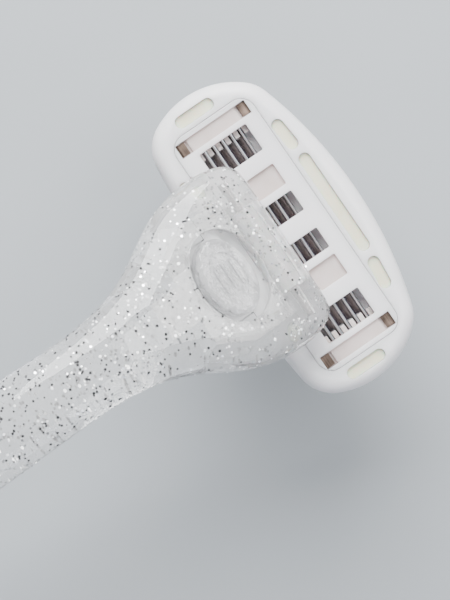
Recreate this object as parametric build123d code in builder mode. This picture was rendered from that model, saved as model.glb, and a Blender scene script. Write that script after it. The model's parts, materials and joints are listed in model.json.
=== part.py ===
"""Cartridge razor: clear handle with a pivoting head, release button and five-blade soap cartridge.

X runs along the cartridge, Y along the handle towards the cartridge, Z is up. The razor lies blades
down, so the soap ring and the tail of the handle touch Z = 0, and the origin is under its middle.
All dimensions are millimetres.
"""
from build123d import *

import math
import os

os.makedirs("parts", exist_ok=True)

# ---------------------------------------------------------------- cartridge, overall
cart_y = 62.0               # middle of the cartridge along Y
cart_length = 54.0          # along X
cart_depth = 25.4           # along Y
cart_height = 7.8           # shaving face to back
front_radius = 70.0         # the far long side, next to the cap
rear_radius = 180.0         # the near long side
end_radius = 14.2
end_mid_y = -1.6            # widest point of the ends, from the middle of the cartridge
corner_radius = 6.5

# ---------------------------------------------------------------- soap carrier and soap
carrier_bottom = 1.9        # lower edge of the tray wall
carrier_wall = 1.3
carrier_plate = 1.6         # thickness of the tray's back
rim_round = 2.3             # rounding of the back's outer edge
soap_edge_round = 0.9
slot_width = 2.0
slot_recess = 0.45          # how far the soap sits below the back inside a slot
far_slot_y = 8.5            # from the middle of the cartridge
long_slot = 18.4
short_slot = 5.6
short_slot_x = 13.2
short_slot_turn = 5.0       # degrees
short_slot_drop = 0.4       # the short slots sit this much further in
near_slot_y = 9.7
end_slot_x = 24.0
end_slot_y = -1.8
end_slot = 7.0
seam = 0.04                 # gap between parts that are snapped or moulded together

# ---------------------------------------------------------------- blade housing
housing_length = 44.4
housing_depth = 14.8
housing_y = -0.7            # its middle, from the middle of the cartridge
housing_corner = 2.6
face_z = 0.8                # lowest plane of the housing
back_plate = 1.6
blade_room_length = 38.2
blade_room_depth = 10.4
cap_ledge_gap = 0.3         # between the last blade's support and the cap ledge
cap_ledge_drop = 3.2        # top of the cap ledge, below the back
back_edge_round = 0.2
outer_window_x = 15.65
outer_window_size = (4.9, 8.8)
outer_window_y = 0.2        # middle of the outer windows, from the middle of the housing
inner_window_x = 3.55
inner_window_size = (3.7, 6.2)
inner_window_y = 1.5
thin_patch_x = 8.6
thin_patch_size = (3.8, 5.0)
thin_patch_y = 2.1
thin_patch_deep = 0.5
window_round = 0.25
comb_tooth = 0.75
comb_inner_x = 16.9
mid_comb_x = (9.4, 10.8)
comb_bottom = 2.0

# ---------------------------------------------------------------- blades
blade_count = 5
blade_pitch = 1.65
blade_length = 37.4
blade_angle = 21.0          # degrees to the shaving face
blade_thick = 0.12
blade_width = 1.35
bevel = 0.35
support_thick = 0.2
support_reach = 0.95
support_top = cart_height - back_plate - 0.3
bend_z = 1.3                # where the support bends from upright to the blade's slope

# ---------------------------------------------------------------- clips
clip_x = 20.2
clip_width = 2.0
clip_thick = 0.3
clip_span = (-6.6, 6.4)     # legs, from the middle of the housing
clip_tab = 1.5
clip_play = 0.05
clip_window = (2.3, 2.0)
clip_window_deep = 0.8
clip_band_deep = 0.35

# ---------------------------------------------------------------- guard strip
guard_length = 35.0
guard_depth = 1.3
guard_height = 1.3
guard_y = -6.2              # from the middle of the housing
guard_ribs = 3
guard_rib = 0.22
guard_low = 0.62

# ---------------------------------------------------------------- docking socket and yoke
pivot_y = cart_y - 5.4
pivot_z = cart_height + 5.6
boss_height = 1.1
boss_length = 17.0
boss_front = 2.6            # from the pivot
boss_rear = 2.6
socket_floor = 0.8
neck_thick = 2.6
neck_length = 14.0
plug_length = 11.6
dock_play = 0.08
axle_radius = 0.8
axle_length = 24.0
axle_play = 0.05
barrel_radius = 2.6
barrel_flat = 2.0           # the cam flat, from the axis
nest_play = 0.3             # gap around the moving yoke
yoke_side_play = 0.3

# ---------------------------------------------------------------- head, in its own sloping plane
head_slope = 22.0           # degrees
roof_z = 3.2                # underside of the head's roof
core_play = 0.05
cavity_front = -3.0
cavity_half = 10.4
cavity_shoulder = -10.5
cavity_waist = -16.5
cavity_waist_half = 7.4
tail_half = 3.1
cavity_end = -21.8
oval_size = (15.4, 11.9)    # the hole in the roof
oval_y = -8.6
button_size = (12.8, 8.6)
button_y = -9.3
button_travel = 2.0
button_foot_z = 3.0
button_top_z = 5.75
button_round = 0.9
button_ribs = 3
rib_pitch = 1.5

# ---------------------------------------------------------------- ejector fork
fork_top = 2.9
fork_bottom = 1.7
fork_play = 0.2
fork_plate_half = 6.6
fork_plate_rear = -12.4
fork_bar_rear = -8.2
fork_bar_front = -5.9
arm_inner = 8.7
arm_outer = 10.0
arm_tip_y = -1.6
arm_tip_z = -4.8
rod_radius = 0.55
rod_z = 1.2
block_size = (2.4, 1.6)     # joins the rod to the plate
rod_wall_front = -14.6
rod_wall_rear = -15.7
flange_front = -20.2
flange_rear = -20.9
spring_bore = 1.9
coil_radius = 1.3
coil_wire = 0.17
coil_gap = 0.03             # between a spring's end and what it bears on
coil_turns = 6

# ---------------------------------------------------------------- pivot plunger
plunger_radius = 1.45
plunger_bore = 1.6
plunger_z = -0.5
plunger_nose = -2.1
plunger_rear = -7.4
plunger_stem = 0.5
plunger_stem_rear = -10.0
plunger_bore_end = -13.0
plunger_coil_radius = 0.9

# ---------------------------------------------------------------- handle sections
# distance back from the nose, half width, half thickness, squareness
nose_reach = 4.1            # nose tip, in front of the axle
straight_reach = 20.0       # the head is straight this far behind the axle
stations = [
    (0.0, 12.4, 0.9, 2.6),
    (0.45, 13.3, 1.9, 2.6),
    (1.4, 14.2, 2.95, 2.7),
    (4.1, 15.2, 4.0, 2.8),
    (8.5, 15.5, 4.5, 2.9),
    (13.0, 14.9, 4.85, 2.9),
    (17.0, 13.6, 5.0, 2.8),
    (21.0, 11.5, 5.1, 2.7),
    (25.5, 9.1, 5.1, 2.6),
    (30.5, 7.4, 5.1, 2.5),
    (37.0, 6.5, 5.1, 2.4),
    (48.0, 6.6, 5.2, 2.4),
    (62.0, 7.1, 5.4, 2.4),
    (82.0, 8.0, 5.6, 2.4),
    (102.0, 8.0, 5.5, 2.4),
    (120.0, 7.3, 5.1, 2.4),
    (131.0, 6.2, 4.5, 2.3),
    (136.5, 4.7, 3.5, 2.2),
    (138.7, 2.9, 2.1, 2.1),
]
section_points = 20
spine_points = [(18.0, 24.3), (0.0, 23.1), (-30.0, 17.5), (-56.0, 11.1)]
tail_y = -74.9
tail_z = 5.3

# ---------------------------------------------------------------- shared planes and derived sizes
slope = math.radians(head_slope)
forward = (0.0, math.cos(slope), -math.sin(slope))
backward = (0.0, -math.cos(slope), math.sin(slope))
upward = (0.0, math.sin(slope), math.cos(slope))
head_plane = Plane(origin=(0, pivot_y, pivot_z), x_dir=(1, 0, 0), z_dir=upward)
side_plane = Plane(origin=(0, pivot_y, pivot_z), x_dir=forward, z_dir=(1, 0, 0))
back_z = cart_height
plate_bottom = back_z - back_plate
boss_top = back_z + boss_height
housing_mid = cart_y + housing_y
blade_slope = math.radians(blade_angle)


def point_on_head(distance, height):
    """Global Y and Z of a point in the middle of the head."""
    y = pivot_y + distance * math.cos(slope) + height * math.sin(slope)
    z = pivot_z - distance * math.sin(slope) + height * math.cos(slope)
    return (y, z)


def across_head(distance, height, towards=forward):
    """Plane square to the head, at a point in its middle."""
    middle = head_plane.from_local_coords(Vector(0, distance, height))
    return Plane(origin=middle, x_dir=(1, 0, 0), z_dir=towards)


def arc_corner(long_centre, long_radius, end_centre, inset):
    """Where a long side's circle meets the right-hand end's circle, both drawn in by inset."""
    big = long_radius - inset
    small = end_radius - inset
    across = end_centre[0] - long_centre[0]
    along = end_centre[1] - long_centre[1]
    apart = math.hypot(across, along)
    reach = (big ** 2 - small ** 2 + apart ** 2) / (2 * apart)
    rise = math.sqrt(big ** 2 - reach ** 2)
    if along < 0:
        rise = -rise
    x = long_centre[0] + (reach * across + rise * along) / apart
    y = long_centre[1] + (reach * along - rise * across) / apart
    return (x, y)


def cartridge_plan(inset):
    """Plan of the cartridge, drawn in from its outer edge by inset."""
    half = cart_length / 2
    deep = cart_depth / 2
    end_centre = (half - end_radius, end_mid_y)
    far = arc_corner((0, deep - front_radius), front_radius, end_centre, inset)
    near = arc_corner((0, rear_radius - deep), rear_radius, end_centre, inset)
    with BuildSketch() as plan:
        with BuildLine():
            ThreePointArc((-far[0], far[1]), (0, deep - inset), far)
            ThreePointArc(far, (half - inset, end_mid_y), near)
            ThreePointArc(near, (0, inset - deep), (-near[0], near[1]))
            ThreePointArc((-near[0], near[1]), (inset - half, end_mid_y), (-far[0], far[1]))
        make_face()
        fillet(plan.vertices(), radius=corner_radius - inset)
    return plan.sketch


def housing_plan(grow):
    """Plan of the blade housing about its own middle, grown by grow all round."""
    with BuildSketch() as plan:
        with Locations((0, housing_y)):
            RectangleRounded(housing_length + 2 * grow, housing_depth + 2 * grow, housing_corner + grow)
    return plan.sketch


def slots_plan(shrink):
    """All the slots in the carrier's back, each narrower and shorter by twice shrink."""
    width = slot_width - 2 * shrink
    with BuildSketch() as plan:
        with Locations((0, far_slot_y)):
            SlotOverall(long_slot - 2 * shrink, width)
        with Locations((0, -near_slot_y)):
            SlotOverall(long_slot - 2 * shrink, width)
        for side in (-1, 1):
            far_middle = (side * short_slot_x, far_slot_y - short_slot_drop)
            with Locations(Location(far_middle, -side * short_slot_turn)):
                SlotOverall(short_slot - 2 * shrink, width)
            with Locations((side * short_slot_x, -near_slot_y)):
                SlotOverall(short_slot - 2 * shrink, width)
            with Locations((side * end_slot_x, end_slot_y)):
                SlotOverall(end_slot - 2 * shrink, width, rotation=90)
    return plan.sketch


def oval_points(half_width, half_thick, squareness):
    """Points round a softly squared oval."""
    power = 2.0 / squareness
    points = []
    for step in range(section_points):
        turn = 2 * math.pi * (step + 0.5) / section_points
        across = math.copysign(abs(math.cos(turn)) ** power, math.cos(turn))
        along = math.copysign(abs(math.sin(turn)) ** power, math.sin(turn))
        points.append((half_width * across, half_thick * along))
    return points


def core_plan(play):
    """Plan of the cavity in the head, drawn in by play all round."""
    half = cavity_half - play
    waist = cavity_waist_half - play
    tail = tail_half - play
    with BuildSketch() as plan:
        with BuildLine():
            Polyline(
                (-half, cavity_front - play),
                (half, cavity_front - play),
                (half, cavity_shoulder),
                (waist, cavity_waist + play),
                (tail, cavity_waist + play),
                (tail, cavity_end + play),
                (-tail, cavity_end + play),
                (-tail, cavity_waist + play),
                (-waist, cavity_waist + play),
                (-half, cavity_shoulder),
                close=True,
            )
        make_face()
    return plan.sketch


def save(piece, name):
    """Label a finished piece and write its file."""
    piece.label = name
    export_step(piece, "parts/" + name + ".step")


# ---------------------------------------------------------------- soap carrier: the white outer tray
tray_outline = cartridge_plan(0)
tray_inside = cartridge_plan(carrier_wall)
housing_hole = housing_plan(seam)
slot_holes = slots_plan(0)

with BuildPart() as soap_carrier:
    with BuildSketch(Plane.XY.offset(carrier_bottom)):
        with Locations((0, cart_y)):
            add(tray_outline)
    extrude(amount=back_z - carrier_bottom)
    fillet(soap_carrier.faces().sort_by(Axis.Z)[-1].edges(), radius=rim_round)
    fillet(soap_carrier.faces().sort_by(Axis.Z)[0].edges(), radius=carrier_wall * 0.35)
    with BuildSketch(Plane.XY.offset(carrier_bottom)):
        with Locations((0, cart_y)):
            add(tray_inside)
    extrude(amount=back_z - carrier_plate - carrier_bottom, mode=Mode.SUBTRACT)
    with BuildSketch(Plane.XY.offset(back_z + 1)):
        with Locations((0, cart_y)):
            add(housing_hole)
            add(slot_holes)
    extrude(amount=-back_z, mode=Mode.SUBTRACT)
save(soap_carrier.part, "soap_carrier")

# ---------------------------------------------------------------- soap surround: ring with nubs in the slots
soap_outline = cartridge_plan(carrier_wall + seam)
soap_hole = housing_plan(seam)
soap_nubs = slots_plan(seam)

with BuildPart() as soap_surround:
    with BuildSketch():
        with Locations((0, cart_y)):
            add(soap_outline)
    extrude(amount=back_z - carrier_plate - seam)
    fillet(soap_surround.faces().sort_by(Axis.Z)[0].edges(), radius=soap_edge_round)
    with BuildSketch(Plane.XY.offset(back_z - carrier_plate - seam)):
        with Locations((0, cart_y)):
            add(soap_nubs)
    extrude(amount=carrier_plate - slot_recess)
    with BuildSketch():
        with Locations((0, cart_y)):
            add(soap_hole)
    extrude(amount=back_z, mode=Mode.SUBTRACT)
save(soap_surround.part, "soap_surround")

# ---------------------------------------------------------------- blade housing
housing_outline = housing_plan(0)
blade_rows = [blade_pitch * (row - (blade_count - 1) / 2) for row in range(blade_count)]
leg_centres = (clip_span[0] + clip_thick / 2, clip_span[1] - clip_thick / 2)

with BuildPart() as blade_housing:
    with BuildSketch(Plane.XY.offset(face_z)):
        with Locations((0, cart_y)):
            add(housing_outline)
    extrude(amount=back_z - face_z)
    fillet(blade_housing.faces().sort_by(Axis.Z)[-1].edges(), radius=back_edge_round)
    # socket boss for the yoke
    with BuildSketch(Plane.XY.offset(plate_bottom)):
        with Locations((0, pivot_y + (boss_front - boss_rear) / 2)):
            RectangleRounded(boss_length, boss_front + boss_rear, 1.0)
    extrude(amount=boss_top - plate_bottom)
    fillet(blade_housing.faces().sort_by(Axis.Z)[-1].edges(), radius=back_edge_round)
    with BuildSketch(Plane.XY.offset(back_z - back_plate + socket_floor)):
        with Locations((0, pivot_y)):
            Rectangle(plug_length + 2 * dock_play, neck_thick + 2 * dock_play)
    extrude(amount=boss_top, mode=Mode.SUBTRACT)
    # room for the blades, open at the face
    with BuildSketch(Plane.XY.offset(face_z)):
        with Locations((0, housing_mid)):
            RectangleRounded(blade_room_length, blade_room_depth, 0.6)
    extrude(amount=plate_bottom - face_z, mode=Mode.SUBTRACT)
    # cap ledge behind the last blade
    ledge_front = blade_rows[-1] + support_thick / 2 + cap_ledge_gap
    ledge_depth = blade_room_depth / 2 - ledge_front + 0.1
    with BuildSketch(Plane.XY.offset(face_z)):
        with Locations((0, housing_mid + ledge_front + ledge_depth / 2)):
            Rectangle(blade_room_length + 0.2, ledge_depth)
    extrude(amount=back_z - cap_ledge_drop - face_z)
    # groove for the guard strip
    with BuildSketch(Plane.XY.offset(face_z)):
        with Locations((0, housing_mid + guard_y)):
            Rectangle(guard_length + 2 * seam, guard_depth + 2 * seam)
    extrude(amount=guard_height + guard_low - face_z + seam, mode=Mode.SUBTRACT)
    # rinse windows through the back
    with BuildSketch(Plane.XY.offset(plate_bottom)):
        with Locations((0, housing_mid + outer_window_y)):
            with GridLocations(2 * outer_window_x, 0, 2, 1):
                RectangleRounded(*outer_window_size, window_round)
        with Locations((0, housing_mid + inner_window_y)):
            with GridLocations(2 * inner_window_x, 0, 2, 1):
                RectangleRounded(*inner_window_size, window_round)
    extrude(amount=back_plate, mode=Mode.SUBTRACT)
    # thin patches beside the inner windows
    with BuildSketch(Plane.XY.offset(back_z)):
        with Locations((0, housing_mid + thin_patch_y)):
            with GridLocations(2 * thin_patch_x, 0, 2, 1):
                RectangleRounded(*thin_patch_size, window_round)
    extrude(amount=-thin_patch_deep, mode=Mode.SUBTRACT)
    # comb teeth between the blade supports
    with BuildSketch(Plane.XY.offset(comb_bottom)):
        for side in (-1, 1):
            for row in range(blade_count + 1):
                tooth_y = housing_mid + blade_pitch * (row - blade_count / 2)
                outer_x = blade_room_length / 2
                with Locations((side * (comb_inner_x + outer_x) / 2, tooth_y)):
                    Rectangle(outer_x - comb_inner_x, comb_tooth)
                with Locations((side * sum(mid_comb_x) / 2, tooth_y)):
                    Rectangle(mid_comb_x[1] - mid_comb_x[0], comb_tooth)
    extrude(amount=plate_bottom - comb_bottom + 0.4)
    # pockets, band and slots for the clips
    for side in (-1, 1):
        with BuildSketch(Plane.XY.offset(back_z)):
            with Locations((side * clip_x, housing_mid)):
                Rectangle(clip_window[0], clip_span[1] - clip_span[0] - clip_window[1])
        extrude(amount=-clip_band_deep, mode=Mode.SUBTRACT)
        with BuildSketch(Plane.XY.offset(back_z)):
            with Locations(
                (side * clip_x, housing_mid + clip_span[0] + clip_window[1] / 2 - clip_play),
                (side * clip_x, housing_mid + clip_span[1] - clip_window[1] / 2 + clip_play),
            ):
                Rectangle(*clip_window)
        extrude(amount=-clip_window_deep, mode=Mode.SUBTRACT)
        with BuildSketch(Plane.XY.offset(back_z)):
            with Locations(
                (side * clip_x, housing_mid + leg_centres[0]),
                (side * clip_x, housing_mid + leg_centres[1]),
            ):
                Rectangle(clip_width + 2 * clip_play, clip_thick + 2 * clip_play)
        extrude(amount=-back_z, mode=Mode.SUBTRACT)
        with BuildSketch(Plane.XY.offset(face_z)):
            with Locations((side * clip_x, housing_mid + (clip_span[0] + clip_span[1]) / 2)):
                Rectangle(clip_width + 2 * clip_play, clip_span[1] - clip_span[0] + 2 * clip_play)
        extrude(amount=clip_thick + clip_play, mode=Mode.SUBTRACT)
save(blade_housing.part, "blade_housing")

# ---------------------------------------------------------------- clips round the ends of the housing
for name, side in (("clip_left", -1), ("clip_right", 1)):
    tab_top = back_z - clip_window_deep + clip_play + clip_thick
    with BuildPart() as clip:
        with BuildSketch(Plane.YZ.offset(side * clip_x - clip_width / 2)):
            with BuildLine():
                near = housing_mid + clip_span[0]
                far = housing_mid + clip_span[1]
                Polyline(
                    (near + clip_tab, tab_top),
                    (near, tab_top),
                    (near, face_z),
                    (far, face_z),
                    (far, tab_top),
                    (far - clip_tab, tab_top),
                    (far - clip_tab, tab_top - clip_thick),
                    (far - clip_thick, tab_top - clip_thick),
                    (far - clip_thick, face_z + clip_thick),
                    (near + clip_thick, face_z + clip_thick),
                    (near + clip_thick, tab_top - clip_thick),
                    (near + clip_tab, tab_top - clip_thick),
                    close=True,
                )
            make_face()
        extrude(amount=clip_width)
    save(clip.part, name)

# ---------------------------------------------------------------- guard strip
with BuildPart() as guard_strip:
    with BuildSketch(Plane.XY.offset(guard_low + 0.4)):
        with Locations((0, housing_mid + guard_y)):
            Rectangle(guard_length, guard_depth)
    extrude(amount=guard_height - 0.4)
    with BuildSketch(Plane.XY.offset(guard_low)):
        with Locations((0, housing_mid + guard_y)):
            with GridLocations(0, guard_depth / guard_ribs, 1, guard_ribs):
                Rectangle(guard_length, guard_rib)
    extrude(amount=0.4)
save(guard_strip.part, "guard_strip")

# ---------------------------------------------------------------- blades and their bent supports
down_y = -math.cos(blade_slope)
down_z = -math.sin(blade_slope)
lift_y = -math.sin(blade_slope)
lift_z = math.cos(blade_slope)

for row in range(blade_count):
    heel_y = housing_mid + blade_rows[row] + support_thick / 2
    heel_z = bend_z
    toe_y = heel_y + support_reach * down_y
    toe_z = heel_z + support_reach * down_z
    leg_y = heel_y - support_thick
    meet = (support_thick + support_thick * lift_y) / -down_y
    meet_z = heel_z + support_thick * lift_z + meet * down_z
    with BuildPart() as support:
        with BuildSketch(Plane.YZ.offset(-blade_length / 2)):
            with BuildLine():
                Polyline(
                    (heel_y, heel_z),
                    (heel_y, support_top),
                    (leg_y, support_top),
                    (leg_y, meet_z),
                    (toe_y + support_thick * lift_y, toe_z + support_thick * lift_z),
                    (toe_y, toe_z),
                    close=True,
                )
            make_face()
        extrude(amount=blade_length)
    save(support.part, "blade_support_" + str(row + 1))

    edge_y = heel_y + blade_width * down_y
    edge_z = heel_z + blade_width * down_z
    bevel_y = heel_y + (blade_width - bevel) * down_y - blade_thick * lift_y
    bevel_z = heel_z + (blade_width - bevel) * down_z - blade_thick * lift_z
    with BuildPart() as blade:
        with BuildSketch(Plane.YZ.offset(-blade_length / 2)):
            with BuildLine():
                Polyline(
                    (heel_y, heel_z),
                    (edge_y, edge_z),
                    (bevel_y, bevel_z),
                    (heel_y - blade_thick * lift_y, heel_z - blade_thick * lift_z),
                    close=True,
                )
            make_face()
        extrude(amount=blade_length)
    save(blade.part, "blade_" + str(row + 1))

# ---------------------------------------------------------------- outer shape of the handle
nose = point_on_head(nose_reach, 0)
shoulder = point_on_head(-straight_reach, 0)

with BuildLine(Plane.YZ) as spine:
    Line(nose, shoulder)
    Spline(
        shoulder,
        *spine_points,
        (tail_y, tail_z),
        tangents=[(-math.cos(slope), math.sin(slope)), (-1.0, -0.27)],
    )

spine_wire = spine.wires()[0]
last_station = stations[-1][0]
sections = []
for distance, half_width, half_thick, squareness in stations:
    share = distance / last_station
    middle = spine_wire.position_at(share)
    heading = spine_wire.tangent_at(share)
    plane = Plane(origin=middle, x_dir=(1, 0, 0), z_dir=heading)
    sections.append((plane, oval_points(half_width, half_thick, squareness)))

with BuildPart() as handle_outer:
    for plane, points in sections:
        with BuildSketch(plane):
            with BuildLine():
                Spline(*points, periodic=True)
            make_face()
    loft()
    split(bisect_by=Plane.XY, keep=Keep.TOP)

# ---------------------------------------------------------------- handle body
cavity_plan = core_plan(0)

with BuildPart() as handle_body:
    add(handle_outer.part)
    # cavity for the core, open underneath
    with BuildSketch(head_plane.offset(roof_z)):
        add(cavity_plan)
    extrude(amount=-3 * roof_z, mode=Mode.SUBTRACT)
    # oval hole for the button
    with BuildSketch(head_plane.offset(roof_z - 1)):
        with Locations((0, oval_y)):
            Ellipse(oval_size[0] / 2, oval_size[1] / 2)
    extrude(amount=3 * roof_z, mode=Mode.SUBTRACT)
    # round nest for the yoke's barrel
    nest_half = neck_length / 2 + yoke_side_play
    with BuildSketch(side_plane.offset(-nest_half)):
        Circle(barrel_radius + nest_play)
    extrude(amount=2 * nest_half, mode=Mode.SUBTRACT)
    with BuildSketch(side_plane.offset(-nest_half)):
        with Locations((cavity_front / 2 - 1, -0.5)):
            Rectangle(-cavity_front, 4.0)
    extrude(amount=2 * nest_half, mode=Mode.SUBTRACT)
    # mouth the yoke's neck swings through
    with BuildSketch(side_plane.offset(-nest_half)):
        with BuildLine():
            Polyline((-0.7, 0.35), (8.0, 0.35), (8.0, -9.0), (-0.7, -9.0), close=True)
        make_face()
    extrude(amount=2 * nest_half, mode=Mode.SUBTRACT)
    # bore for the axle
    with BuildSketch(side_plane.offset(-axle_length / 2 - 0.1)):
        Circle(axle_radius + axle_play / 2)
    extrude(amount=axle_length + 0.2, mode=Mode.SUBTRACT)
    # slots for the tips of the ejector's arms
    for side in (-1, 1):
        arm_mid = side * (arm_inner + arm_outer) / 2
        arm_room = arm_outer - arm_inner + 2 * fork_play
        with BuildSketch(side_plane.offset(arm_mid - arm_room / 2)):
            with BuildLine():
                Polyline((-3.6, -1.4), (1.0, -1.4), (1.0, -9.0), (-3.6, -9.0), close=True)
            make_face()
        extrude(amount=arm_room, mode=Mode.SUBTRACT)
save(handle_body.part, "handle_body")

# ---------------------------------------------------------------- head core
inner_plan = core_plan(core_play)

with BuildPart() as head_core:
    add(handle_outer.part)
    with BuildSketch(head_plane.offset(roof_z - core_play)):
        add(inner_plan)
    extrude(amount=-3 * roof_z, mode=Mode.INTERSECT)
    # pocket the ejector's plate slides in
    with BuildSketch(head_plane.offset(fork_bottom - fork_play)):
        with BuildLine():
            Polyline(
                (-fork_plate_half - fork_play, rod_wall_front),
                (fork_plate_half + fork_play, rod_wall_front),
                (fork_plate_half + fork_play, fork_bar_rear - fork_play),
                (cavity_half + 1, fork_bar_rear - fork_play),
                (cavity_half + 1, 0),
                (-cavity_half - 1, 0),
                (-cavity_half - 1, fork_bar_rear - fork_play),
                (-fork_plate_half - fork_play, fork_bar_rear - fork_play),
                close=True,
            )
        make_face()
    extrude(amount=roof_z, mode=Mode.SUBTRACT)
    # side slots the arms run in
    for side in (-1, 1):
        with BuildSketch(head_plane.offset(-9)):
            with Locations((side * (arm_inner - fork_play + 2), fork_bar_rear / 2 - fork_play)):
                Rectangle(4, -fork_bar_rear)
        extrude(amount=14, mode=Mode.SUBTRACT)
    # bore for the plunger
    with BuildSketch(across_head(0, plunger_z)):
        Circle(plunger_bore)
    extrude(amount=plunger_bore_end, mode=Mode.SUBTRACT)
    # channel for the spring behind the ejector
    with BuildSketch(across_head(rod_wall_rear, rod_z)):
        Circle(spring_bore)
        with Locations((0, spring_bore)):
            Rectangle(2 * spring_bore, 2 * spring_bore)
    extrude(amount=flange_rear - rod_wall_rear - fork_play, mode=Mode.SUBTRACT)
    # hole for the ejector's rod and room for the block it grows from
    with BuildSketch(across_head(rod_wall_rear - 1, rod_z)):
        Circle(rod_radius + fork_play)
    extrude(amount=rod_wall_front - rod_wall_rear + 2, mode=Mode.SUBTRACT)
    block_reach = fork_plate_rear + block_size[1] / 2 + button_travel + fork_play
    with BuildSketch(head_plane.offset(rod_z - rod_radius - fork_play)):
        with Locations((0, (rod_wall_front + block_reach) / 2)):
            Rectangle(block_size[0] + 1, block_reach - rod_wall_front)
    extrude(amount=roof_z, mode=Mode.SUBTRACT)
save(head_core.part, "head_core")

# ---------------------------------------------------------------- axle
with BuildPart() as pivot_axle:
    with BuildSketch(side_plane.offset(-axle_length / 2)):
        Circle(axle_radius)
    extrude(amount=axle_length)
    chamfer(pivot_axle.edges().filter_by(GeomType.CIRCLE), length=0.2)
save(pivot_axle.part, "pivot_axle")

# ---------------------------------------------------------------- yoke
shoulder_z = boss_top + dock_play
plug_bottom = plate_bottom + socket_floor + dock_play

with BuildPart() as pivot_yoke:
    with BuildSketch(side_plane.offset(-neck_length / 2)):
        Circle(barrel_radius)
    extrude(amount=neck_length)
    with BuildSketch(Plane.XY.offset(shoulder_z)):
        with Locations((0, pivot_y)):
            Rectangle(neck_length, neck_thick)
    extrude(amount=pivot_z - shoulder_z)
    with BuildSketch(Plane.XY.offset(plug_bottom)):
        with Locations((0, pivot_y)):
            Rectangle(plug_length, neck_thick)
    extrude(amount=pivot_z - plug_bottom)
    # flat the plunger rests on
    with BuildSketch(side_plane.offset(-neck_length / 2)):
        with Locations((-barrel_flat - 2, 0)):
            Rectangle(4, 2 * barrel_radius + 2)
    extrude(amount=neck_length, mode=Mode.SUBTRACT)
    with BuildSketch(side_plane.offset(-neck_length / 2)):
        Circle(axle_radius + axle_play)
    extrude(amount=neck_length, mode=Mode.SUBTRACT)
save(pivot_yoke.part, "pivot_yoke")

# ---------------------------------------------------------------- plunger
plunger_plane = across_head(plunger_nose, plunger_z)

with BuildPart() as pivot_plunger:
    with BuildSketch(plunger_plane):
        Circle(plunger_radius)
    extrude(amount=plunger_rear - plunger_nose)
    with BuildSketch(plunger_plane):
        Circle(plunger_stem)
    extrude(amount=plunger_stem_rear - plunger_nose)
    chamfer(pivot_plunger.edges().filter_by(GeomType.CIRCLE).sort_by(Axis.Y)[-1], length=0.3)
save(pivot_plunger.part, "pivot_plunger")


def coil(plane, radius, wire, length, turns):
    """Closed-ended helical spring that starts on the plane and grows along its normal."""
    with BuildLine() as path:
        Helix(pitch=length / turns, height=length, radius=radius)
    with BuildPart() as spring:
        with BuildSketch(Plane(origin=path.edges()[0] @ 0, z_dir=path.edges()[0] % 0)):
            Circle(wire)
        sweep(path=path.edges()[0], is_frenet=True)
    return plane.location * spring.part


plunger_spring_start = plunger_rear - coil_wire - coil_gap
plunger_spring_length = plunger_spring_start - plunger_bore_end - coil_wire - coil_gap
plunger_spring = coil(
    across_head(plunger_spring_start, plunger_z, backward),
    plunger_coil_radius,
    coil_wire,
    plunger_spring_length,
    coil_turns,
)
save(plunger_spring, "plunger_spring")

# ---------------------------------------------------------------- ejector fork
with BuildPart() as ejector:
    with BuildSketch(head_plane.offset(fork_bottom)):
        with BuildLine():
            Polyline(
                (-fork_plate_half, fork_plate_rear),
                (fork_plate_half, fork_plate_rear),
                (fork_plate_half, fork_bar_rear),
                (arm_outer, fork_bar_rear),
                (arm_outer, fork_bar_front),
                (-arm_outer, fork_bar_front),
                (-arm_outer, fork_bar_rear),
                (-fork_plate_half, fork_bar_rear),
                close=True,
            )
        make_face()
    extrude(amount=fork_top - fork_bottom)
    for side in (-1, 1):
        arm_start = side * (arm_inner + arm_outer) / 2 - (arm_outer - arm_inner) / 2
        with BuildSketch(side_plane.offset(arm_start)):
            with BuildLine():
                Polyline(
                    (fork_bar_rear, fork_top),
                    (fork_bar_front, fork_top),
                    (fork_bar_front, -1.7),
                    (arm_tip_y, -3.3),
                    (arm_tip_y, arm_tip_z),
                    (arm_tip_y - 1.2, arm_tip_z),
                    (fork_bar_rear, -2.4),
                    close=True,
                )
            make_face()
        extrude(amount=arm_outer - arm_inner)
    with BuildSketch(head_plane.offset(rod_z - rod_radius)):
        with Locations((0, fork_plate_rear)):
            Rectangle(*block_size)
    extrude(amount=fork_top - rod_z + rod_radius)
    rod_start = fork_plate_rear
    with BuildSketch(across_head(rod_start, rod_z)):
        Circle(rod_radius)
    extrude(amount=flange_rear - rod_start)
    with BuildSketch(across_head(flange_front, rod_z)):
        Circle(spring_bore - fork_play)
    extrude(amount=flange_rear - flange_front)
save(ejector.part, "ejector")

button_spring = coil(
    across_head(rod_wall_rear - coil_wire - coil_gap, rod_z, backward),
    coil_radius,
    coil_wire,
    rod_wall_rear - flange_front - 2 * (coil_wire + coil_gap),
    coil_turns,
)
save(button_spring, "button_spring")

# ---------------------------------------------------------------- release button
with BuildPart() as release_button:
    with BuildSketch(head_plane.offset(button_foot_z)):
        with Locations((0, button_y)):
            Ellipse(button_size[0] / 2, button_size[1] / 2)
    extrude(amount=button_top_z - button_foot_z)
    fillet(release_button.faces().sort_by(Axis.Z)[-1].edges(), radius=button_round)
    # shallow thumb dish
    with BuildSketch(head_plane.offset(button_top_z - 0.35)):
        with Locations((0, button_y)):
            Ellipse(button_size[0] / 2 - 2.4, button_size[1] / 2 - 1.7)
    extrude(amount=1, mode=Mode.SUBTRACT)
    # raised ribs across the dish
    with BuildSketch(head_plane.offset(button_top_z - 0.6)):
        with Locations((0, button_y)):
            with GridLocations(0, rib_pitch, 1, button_ribs):
                SlotOverall(4.4, 0.5)
    extrude(amount=0.75)
    # post down to the ejector
    with BuildSketch(head_plane.offset(fork_top)):
        with Locations((0, button_y)):
            Rectangle(5.0, 3.0)
    extrude(amount=button_foot_z - fork_top)
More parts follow.
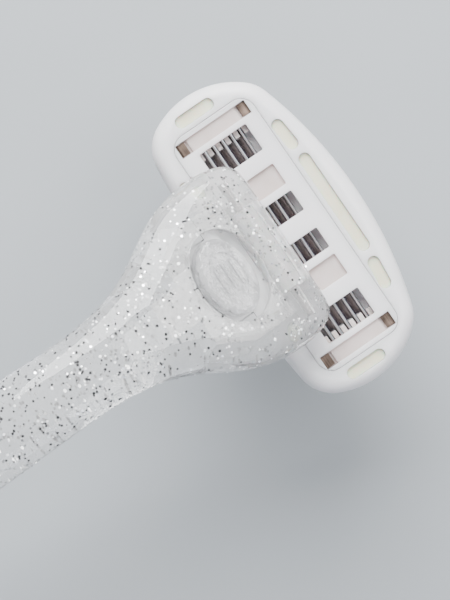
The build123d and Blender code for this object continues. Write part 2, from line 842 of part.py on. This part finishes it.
save(release_button.part, "release_button")
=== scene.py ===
# %% [markdown]
# # A clear razor with glitter in its handle
#
# This lesson dresses a finished, jointed model of a cartridge razor. The shapes that have to fit and
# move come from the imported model. What Blender adds is the look: clear plastic with flakes of glitter
# hanging inside it, frosted white plastic, waxy soap and thin steel.

import json
import math
import random

import bpy
from mathutils import Matrix, Vector
from mathutils.bvhtree import BVHTree

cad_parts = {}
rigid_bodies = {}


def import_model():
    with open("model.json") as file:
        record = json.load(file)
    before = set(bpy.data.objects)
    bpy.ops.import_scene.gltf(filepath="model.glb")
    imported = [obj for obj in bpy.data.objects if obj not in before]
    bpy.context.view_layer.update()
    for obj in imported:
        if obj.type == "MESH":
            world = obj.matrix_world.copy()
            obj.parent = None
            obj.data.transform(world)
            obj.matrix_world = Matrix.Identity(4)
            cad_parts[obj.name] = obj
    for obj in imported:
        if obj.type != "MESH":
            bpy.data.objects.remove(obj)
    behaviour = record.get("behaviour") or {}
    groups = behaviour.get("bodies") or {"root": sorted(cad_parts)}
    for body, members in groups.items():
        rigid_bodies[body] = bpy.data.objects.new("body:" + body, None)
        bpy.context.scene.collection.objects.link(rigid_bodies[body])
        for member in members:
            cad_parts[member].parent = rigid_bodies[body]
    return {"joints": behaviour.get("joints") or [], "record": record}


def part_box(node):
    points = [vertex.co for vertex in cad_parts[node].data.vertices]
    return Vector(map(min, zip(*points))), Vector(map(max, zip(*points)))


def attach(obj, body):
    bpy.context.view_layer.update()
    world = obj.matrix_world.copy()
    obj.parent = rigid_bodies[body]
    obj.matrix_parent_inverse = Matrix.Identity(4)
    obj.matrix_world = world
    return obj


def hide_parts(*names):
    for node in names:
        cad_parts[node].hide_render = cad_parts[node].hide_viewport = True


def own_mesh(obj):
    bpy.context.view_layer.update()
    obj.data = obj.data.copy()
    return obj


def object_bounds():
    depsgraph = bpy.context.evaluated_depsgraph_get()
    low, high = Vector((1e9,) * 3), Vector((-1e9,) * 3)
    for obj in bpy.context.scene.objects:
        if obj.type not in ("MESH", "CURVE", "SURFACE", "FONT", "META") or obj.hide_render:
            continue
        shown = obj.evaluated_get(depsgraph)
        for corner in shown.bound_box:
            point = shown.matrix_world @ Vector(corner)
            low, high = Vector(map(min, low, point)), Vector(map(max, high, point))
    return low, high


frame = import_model()
cad_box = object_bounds()
print("overall size in mm:", [round(1000 * (high - low), 1) for low, high in zip(*cad_box)])

# %% [markdown]
# ## Writing materials as sums
#
# A material is a little calculation: noise plus a gradient, times a colour. Drawing it node by node is
# slow to read, so one small class wraps a socket and lets the ordinary signs add the Math nodes. Another
# collects the nodes of one finish and has a single method for every other kind of node.


# %% A socket that can be added, subtracted and multiplied
class Amount:
    """One number running through a finish; arithmetic on it adds Math nodes."""

    def __init__(self, socket):
        self.socket = socket

    def maths(self, operation, *values):
        tree = self.socket.id_data
        step = tree.nodes.new("ShaderNodeMath")
        step.operation = operation
        for place, value in zip(step.inputs, values):
            if isinstance(value, Amount):
                tree.links.new(value.socket, place)
            else:
                place.default_value = value
        return Amount(step.outputs[0])

    def __add__(self, other):
        return self.maths("ADD", self, other)

    __radd__ = __add__

    def __sub__(self, other):
        return self.maths("SUBTRACT", self, other)

    def __rsub__(self, other):
        return self.maths("SUBTRACT", other, self)

    def __mul__(self, other):
        return self.maths("MULTIPLY", self, other)

    __rmul__ = __mul__

    def __gt__(self, other):
        return self.maths("GREATER_THAN", self, other)

    def __lt__(self, other):
        return self.maths("LESS_THAN", self, other)


# %% A finish that is being mixed
class Finish:
    """The nodes of one material, ending in a Principled shader."""

    def __init__(self, name, **plain):
        self.material = bpy.data.materials.new(name)
        self.material.use_nodes = True
        self.tree = self.material.node_tree
        self.tree.nodes.clear()
        self.shader = self.tree.nodes.new("ShaderNodeBsdfPrincipled")
        out = self.tree.nodes.new("ShaderNodeOutputMaterial")
        self.tree.links.new(self.shader.outputs["BSDF"], out.inputs["Surface"])
        for label, value in plain.items():
            self.shader.inputs[label.replace("_", " ")].default_value = value

    def node(self, kind, settings=None, output=0, **inputs):
        """Add any node: its settings first, then values or links for its sockets."""
        step = self.tree.nodes.new(kind)
        for key, value in (settings or {}).items():
            setattr(step, key, value)
        for label, value in inputs.items():
            place = self.place(step, label)
            if isinstance(value, Amount):
                self.tree.links.new(value.socket, place)
            else:
                place.default_value = value
        return Amount(step.outputs[output])

    def place(self, step, label):
        """A socket by its name or, after an underscore, by its number."""
        if label.startswith("_"):
            return step.inputs[int(label[1:])]
        return step.inputs[label.replace("_", " ")]

    def feed(self, label, value):
        """Wire a varying value into the shader."""
        self.tree.links.new(value.socket, self.shader.inputs[label.replace("_", " ")])

    def where(self):
        """Position on the object, in metres."""
        return self.node("ShaderNodeTexCoord", output=3)

    def noise(self, scale, detail=3.0, roughness=0.5, vector=None):
        return self.node(
            "ShaderNodeTexNoise",
            Vector=vector or self.where(),
            Scale=scale,
            Detail=detail,
            Roughness=roughness,
        )

    def between(self, amount, low, high):
        """A colour part of the way from low to high; low may be a colour that is already mixed."""
        return self.node(
            "ShaderNodeMix",
            {"data_type": "RGBA", "clamp_factor": True},
            output=2,
            _0=amount,
            _6=low if isinstance(low, Amount) else (*low, 1.0),
            _7=(*high, 1.0),
        )

    def bumps(self, height, strength, distance):
        bump = self.node("ShaderNodeBump", Strength=strength, Distance=distance, Height=height)
        self.feed("Normal", bump)


# %% [markdown]
# ## Clear handle plastic
#
# The handle is moulded in clear plastic. On a pale ground it looks light grey, with bright and dark
# lines where its rounded edges bend the light. Strong transmission with a plastic's index of refraction
# gives exactly that, so the material stays simple: a faint cloudiness in its colour, a trace of
# roughness from handling, and a very shallow ripple such as moulded parts have.

# %% Clear plastic for the handle
clear = Finish(
    "clear glitter plastic",
    Transmission_Weight=0.8,
    IOR=1.47,
    Specular_IOR_Level=0.6,
)
cloud = clear.noise(90.0, 2.0)
clear.feed("Base_Color", clear.between(cloud, (0.88, 0.88, 0.875), (0.97, 0.97, 0.965)))
smears = clear.noise(160.0, 3.0)
clear.feed("Roughness", 0.01 + 0.04 * smears)
clear.bumps(clear.noise(260.0, 1.0), 0.12, 0.0002)

# %% Slightly milky plastic for the insert and the ejector
milky = Finish("milky clear plastic", Transmission_Weight=0.45, IOR=1.46)
grain = milky.noise(220.0, 3.0)
milky.feed("Base_Color", milky.between(grain, (0.90, 0.90, 0.91), (1.0, 1.0, 1.0)))
milky.feed("Roughness", 0.08 + 0.12 * grain)
milky.bumps(milky.noise(500.0, 2.0), 0.2, 0.00015)

# %% A clearer plastic for the button, rippled so that it sparkles
glassy = Finish("rippled clear plastic", Transmission_Weight=0.85, IOR=1.49)
swirl = glassy.noise(330.0, 3.0, 0.6)
glassy.feed("Base_Color", glassy.between(swirl, (0.88, 0.88, 0.89), (1.0, 1.0, 1.0)))
glassy.feed("Roughness", 0.03 + 0.08 * swirl)
glassy.bumps(swirl, 0.9, 0.0007)

# %% [markdown]
# ## Frosted white plastic
#
# The cartridge is white but not chalky: light sinks a millimetre or two into it, so its edges glow and
# thin places look warmer. Subsurface scattering does this, with a fine matt grain on top.

# %% Frosted white plastic for the cartridge
def frosted_plastic(name):
    """Plain frosted plastic; returns its two whites mixed, still to be tinted and wired in."""
    plastic = Finish(
        name,
        Subsurface_Weight=0.7,
        Subsurface_Scale=0.0025,
        Subsurface_Radius=(1.0, 0.85, 0.9),
        IOR=1.45,
        Transmission_Weight=0.12,
    )
    plastic.feed("Roughness", 0.28 + 0.14 * plastic.noise(300.0, 4.0))
    plastic.bumps(plastic.noise(1800.0, 3.0), 0.12, 0.00006)
    white = plastic.between(plastic.noise(70.0, 2.0), (0.85, 0.81, 0.86), (0.95, 0.925, 0.94))
    return plastic, white


frosted, frosted_colour = frosted_plastic("frosted white plastic")
frosted.feed("Base_Color", frosted_colour)

# %% The housing, with painted shade in the recesses below its back
housing_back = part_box("soap_carrier")[1][2]
recess_starts = housing_back - 0.0002
recess_ends = housing_back - 0.0017
# Brownish colour of the shade painted into the recesses below the back
painted_recess_shade = (0.60, 0.50, 0.46)
housing_with_painted_shade, housing_white = frosted_plastic("frosted white plastic, thin in places")
height = housing_with_painted_shade.node("ShaderNodeSeparateXYZ", output=2, Vector=housing_with_painted_shade.where())
# Painted shade: faces sunk 0.2 to 1.7 mm below the back are mixed, patchily, towards the shade colour
recessed = (height < recess_starts) * (height > recess_ends)
patchiness = 0.55 + 0.45 * housing_with_painted_shade.noise(260.0, 3.0)
housing_with_painted_shade.feed("Base_Color", housing_with_painted_shade.between(recessed * patchiness, housing_white, painted_recess_shade))
print("recesses in mm below the back:", round(1000 * (housing_back - recess_ends), 1))

# %% Satin white plastic for the hidden moving pieces
satin = Finish("satin white plastic", Subsurface_Weight=0.3, Subsurface_Scale=0.001, IOR=1.45)
satin_grain = satin.noise(900.0, 3.0)
satin.feed("Base_Color", satin.between(satin_grain, (0.86, 0.86, 0.87), (0.93, 0.93, 0.93)))
satin.feed("Roughness", 0.3 + 0.2 * satin_grain)
satin.bumps(satin_grain, 0.1, 0.00005)

# %% Waxy soap
soap = Finish("cream soap", Subsurface_Weight=0.6, Subsurface_Scale=0.002, IOR=1.42)
marbling = soap.noise(240.0, 5.0, 0.6)
soap.feed("Base_Color", soap.between(marbling, (0.66, 0.60, 0.44), (0.80, 0.75, 0.60)))
soap.feed("Roughness", 0.35 + 0.25 * marbling)
soap.bumps(soap.noise(700.0, 4.0), 0.3, 0.00012)

# %% [markdown]
# ## Steel
#
# Blades, their carriers and the clips are stamped from strip, so the fine scratches of rolling run
# along their length. Stretching a noise along X draws them.


# %% Rolled steel in three tones
rolling_stretch = (40.0, 2600.0, 2600.0)


def rolled_steel(name, dark, light, rough_low, rough_span, contrast=1.0):
    """Steel strip with rolling lines along X."""
    steel = Finish(name, Anisotropic=0.4)
    along = steel.node("ShaderNodeMapping", Vector=steel.where(), Scale=rolling_stretch)
    lines = steel.noise(1.0, 3.0, 0.6, vector=along)
    patchiness = steel.noise(420.0, 3.0)
    tone = contrast * (0.5 * lines + 0.5 * patchiness - 0.5) + 0.5
    steel.feed("Base_Color", steel.between(tone, dark, light))
    steel.shader.inputs["Metallic"].default_value = 0.8
    steel.feed("Roughness", rough_low + rough_span * lines)
    steel.bumps(lines, 0.2, 0.00002)
    return steel


blade_steel = rolled_steel("blade steel", (0.42, 0.40, 0.46), (0.74, 0.70, 0.80), 0.12, 0.16)
carrier_steel = rolled_steel("carrier steel", (0.30, 0.27, 0.27), (0.55, 0.50, 0.50), 0.2, 0.25)
clip_steel = rolled_steel("clip steel", (0.012, 0.008, 0.006), (0.24, 0.175, 0.14), 0.3, 0.3, 4.0)

# %% Soft ribbed strip
soft = Finish("soft strip", Subsurface_Weight=0.2, Subsurface_Scale=0.001)
soft_grain = soft.noise(1200.0, 3.0)
soft.feed("Base_Color", soft.between(soft_grain, (0.72, 0.72, 0.74), (0.82, 0.82, 0.83)))
soft.feed("Roughness", 0.6 + 0.2 * soft_grain)
soft.bumps(soft_grain, 0.2, 0.00005)

# %% Give every carried-over piece its finish
finishes = {
    "clear_glitter": clear,
    "pale_clear": milky,
    "white_plastic": satin,
    "frosted_white": frosted,
    "soap": soap,
    "soft_strip": soft,
    "blade_steel": blade_steel,
    "steel": carrier_steel,
    "clip_steel": clip_steel,
}
# The housing gets the plastic with painted shade in its recesses
own_finish = {"blade_housing": housing_with_painted_shade, "release_button": glassy, "ejector": milky}
for subpart in frame["record"]["subparts"]:
    piece = bpy.data.objects[subpart["node"]]
    finish = own_finish.get(subpart["node"], finishes[subpart["material_slot"]])
    for place in piece.material_slots:
        place.material = finish.material

# %% [markdown]
# ## Stand-ins for the springs
#
# A coil spring is caught between a wall of the head and the piece that it pushes. One end stays where
# it is and the other follows the piece, so the coil gets shorter by exactly the travel. A rigid coil
# would run into the wall. A copy of each coil stands in for it, carried by the handle, and the original
# is hidden.


# %% Copy each coil onto the handle and hide the original
def shortening_spring(name, node, joint_name):
    """A stand-in copy of a coil, carried by the handle in place of the hidden original."""
    joint = next(joint for joint in frame["joints"] if joint["name"] == joint_name)
    slide = Vector(joint["axis"]).normalized()
    coil = bpy.data.objects.new(name, bpy.data.objects[node].data.copy())
    bpy.context.scene.collection.objects.link(coil)
    along = [slide.dot(vertex.co) for vertex in coil.data.vertices]
    length = max(along) - min(along)
    travel = joint["range_m"][1]
    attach(coil, "handle")
    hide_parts(node)
    1 - travel / length
    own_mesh(coil)
    print(name, "shortens by", round(1000 * travel, 2), "mm of", round(1000 * length, 2))
    return coil


shortening_spring("button_coil", "button_spring", "button_slide")
shortening_spring("plunger_coil", "plunger_spring", "plunger_slide")

# %% [markdown]
# ## Glitter
#
# Real glitter is thin hexagons cut from film, frozen at all angles in the plastic. Each flake flashes
# white or goes dark with its angle, which a painted speckle can't do, so the flakes are real meshes.
# Most of what the eye sees lies at the skin, so three layers sit there: silver flakes, black flakes
# that are painted shade for silver flakes turned from the light, and white flakes that are painted
# highlights for silver flakes catching it. A fourth hangs deeper, where the cloudy plastic softens it.
# The head carries fewer of the black painted-shade flakes than the stem.

# %% Where on the handle a flake can go
handle = bpy.data.objects["handle_body"]
handle_mesh = handle.data
handle_tree = BVHTree.FromPolygons(
    [vertex.co for vertex in handle_mesh.vertices],
    [tuple(face.vertices) for face in handle_mesh.polygons],
)
head_starts = 0.036
just_off_the_skin = 0.00005
lowest_skin = 0.0005


def open_to_air(face):
    """True for the outer skin, false for the walls of the head's cavity."""
    start = face.center + just_off_the_skin * face.normal
    hit = handle_tree.ray_cast(start, face.normal)[0]
    return hit is None and face.center.z > lowest_skin


skin = [face.index for face in handle_mesh.polygons if open_to_air(face)]
skin_sizes = [handle_mesh.polygons[index].area for index in skin]
print("skin faces:", len(skin), "area in mm2:", round(1e6 * sum(skin_sizes)))


def in_cad_box(points):
    """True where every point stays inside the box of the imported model."""
    low, high = cad_box
    return all(low[i] <= point[i] <= high[i] for point in points for i in range(3))


# %% Scatter flakes over the skin or below it
def scatter_flakes(name, count, sizes, depths, lean, head_share, seed):
    """One mesh of six-sided flakes, each turned at random about the skin's own direction."""
    pick = random.Random(seed)
    points = []
    faces = []
    for index in pick.choices(skin, weights=skin_sizes, k=3 * count):
        face = handle_mesh.polygons[index]
        corners = [handle_mesh.vertices[v].co for v in face.vertices]
        a, b = sorted((pick.random(), pick.random()))
        spot = corners[0] * a + corners[1] * (b - a) + corners[2] * (1 - b)
        radius = pick.uniform(*sizes) / 2
        tip = Vector([pick.gauss(0, lean) for _ in range(3)])
        normal = (face.normal + tip).normalized()
        depth = pick.uniform(*depths)
        if depth <= 0:
            depth -= radius * math.sqrt(max(0.0, 1 - normal.dot(face.normal) ** 2))
        spot = spot - face.normal * depth
        if spot.y > head_starts and pick.random() > head_share:
            continue
        side = normal.orthogonal().normalized()
        other = normal.cross(side)
        turn = pick.uniform(0, math.pi)
        angles = [turn + corner * math.pi / 3 for corner in range(6)]
        ring = [spot + radius * (math.cos(angle) * side + math.sin(angle) * other) for angle in angles]
        if not in_cad_box(ring):
            continue
        faces.append(tuple(range(len(points), len(points) + 6)))
        points.extend(ring)
        if len(faces) == count:
            break
    mesh = bpy.data.meshes.new(name)
    mesh.from_pydata(points, [], faces)
    flakes = bpy.data.objects.new(name, mesh)
    bpy.context.scene.collection.objects.link(flakes)
    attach(flakes, "handle")
    print(name, len(faces), "flakes")
    return flakes


# %% Film for the flakes
def foil(name, dark, light, metal, roughness):
    """Film that glitter is cut from."""
    film = Finish(name, Metallic=metal)
    speck = film.noise(2500.0, 2.0)
    film.feed("Base_Color", film.between(speck, dark, light))
    film.feed("Roughness", roughness + 0.1 * speck)
    return film.material


silver_foil = foil("silver foil", (0.85, 0.85, 0.86), (1.0, 1.0, 1.0), 1.0, 0.12)
# White flakes stand in for silver flakes that catch the light: painted highlights
white_painted_highlight_foil = foil("white foil", (0.9, 0.9, 0.92), (1.0, 1.0, 1.0), 0.0, 0.25)
# Black flakes stand in for silver flakes turned from the light: painted shade
black_painted_shade_foil = foil("black foil", (0.004, 0.004, 0.005), (0.02, 0.02, 0.022), 0.0, 0.6)

# %% Hang four layers of flakes
at_the_skin = (-0.000012, -0.000006)
under_the_skin = (0.0003, 0.0016)
all_over = 1.0
layers = [
    # name, count, sizes, depths, lean, share kept on the head, seed, film
    # The black and white layers are painted shade and painted highlights standing in for silver flakes
    ("glitter_black", 2100, (0.00030, 0.00050), at_the_skin, 0.06, 0.4, 23, black_painted_shade_foil),
    ("glitter_white", 900, (0.00026, 0.00048), at_the_skin, 0.06, all_over, 31, white_painted_highlight_foil),
    ("glitter_silver", 1400, (0.00022, 0.00048), at_the_skin, 0.16, all_over, 11, silver_foil),
    ("glitter_deep", 1300, (0.00026, 0.0005), under_the_skin, 0.6, all_over, 47, silver_foil),
]
for name, count, sizes, depths, lean, head_share, seed, film in layers:
    flakes = scatter_flakes(name, count, sizes, depths, lean, head_share, seed)
    flakes.data.materials.append(film)

# %% [markdown]
# ## Ground, light and camera
#
# The razor hovers blades down over a pale ground, under broad, soft lights. The ground lies just lower
# than the cartridge reaches when it is taken off, so that it never sinks into it. The camera looks
# straight down on the back of the cartridge, turned so that the handle runs out of the corner.

# %% A pale ground
ground_finish = Finish("pale ground")
ground_grain = ground_finish.noise(40.0, 2.0)
ground_colour = ground_finish.between(ground_grain, (0.32, 0.345, 0.365), (0.34, 0.365, 0.385))
ground_finish.feed("Base_Color", ground_colour)
ground_finish.feed("Roughness", 0.6 + 0.1 * ground_grain)
ground_mesh = bpy.data.meshes.new("ground")
reach = 8.0
release = next(joint for joint in frame["joints"] if joint["name"] == "cartridge_release")
room_to_spare = 0.002
ground_depth = release["range_m"][1] + room_to_spare
ground_corners = [(-reach, -reach), (reach, -reach), (reach, reach), (-reach, reach)]
ground_mesh.from_pydata([(x, y, -ground_depth) for x, y in ground_corners], [], [(0, 1, 2, 3)])
print("ground in mm below the razor:", round(1000 * ground_depth, 1))
ground = bpy.data.objects.new("ground", ground_mesh)
bpy.context.scene.collection.objects.link(ground)
ground.data.materials.append(ground_finish.material)


# %% Soft lights
def softbox(name, position, target, size, power, colour=(1.0, 1.0, 1.0)):
    """A square area light aimed at a point."""
    light = bpy.data.lights.new(name, "AREA")
    light.size = size
    light.energy = power
    light.color = colour
    lamp = bpy.data.objects.new(name, light)
    lamp.location = position
    aim = Vector(target) - Vector(position)
    lamp.rotation_euler = aim.to_track_quat("-Z", "Y").to_euler()
    bpy.context.scene.collection.objects.link(lamp)
    return lamp


subject = Vector((0.0, 0.045, 0.01))
softbox("key", (-0.40, 0.22, 0.36), subject, 0.5, 13.0)
softbox("fill", (0.42, -0.12, 0.3), subject, 0.4, 1.2, (0.85, 0.88, 1.0))
softbox("top", (0.05, 0.35, 0.5), subject, 0.3, 2.0)

# %% Even light from the room
world = bpy.data.worlds.new("room")
bpy.context.scene.world = world
world.use_nodes = True
room_light = world.node_tree.nodes["Background"]
room_light.inputs["Color"].default_value = (0.93, 0.96, 1.0, 1.0)
room_light.inputs["Strength"].default_value = 0.42

# %% The camera
carrier_low, carrier_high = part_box("soap_carrier")
back_of_cartridge = (Vector(carrier_low) + Vector(carrier_high)) / 2
back_of_cartridge.z = carrier_high[2]
tilt = math.radians(1.5)
heading = math.radians(55.5)
camera_distance = 0.35
shift_left = 0.01024
shift_down = 0.0107

backwards = Vector((-math.sin(tilt), 0.0, math.cos(tilt)))
on_ground_across = Vector((math.cos(heading), math.sin(heading), 0.0))
on_ground_upwards = Vector((-math.sin(heading), math.cos(heading), 0.0))
upwards = (on_ground_upwards - on_ground_upwards.dot(backwards) * backwards).normalized()
across = upwards.cross(backwards)
view_middle = back_of_cartridge - on_ground_across * shift_left - on_ground_upwards * shift_down

camera_data = bpy.data.cameras.new("camera")
camera_data.lens = 133.0
camera_data.clip_start = 0.01
camera = bpy.data.objects.new("camera", camera_data)
turned = Matrix((across, upwards, backwards)).transposed()
camera.matrix_world = Matrix.Translation(view_middle + camera_distance * backwards) @ turned.to_4x4()
bpy.context.scene.collection.objects.link(camera)
bpy.context.scene.camera = camera
print("camera at, in mm:", [round(1000 * value) for value in camera.matrix_world.translation])
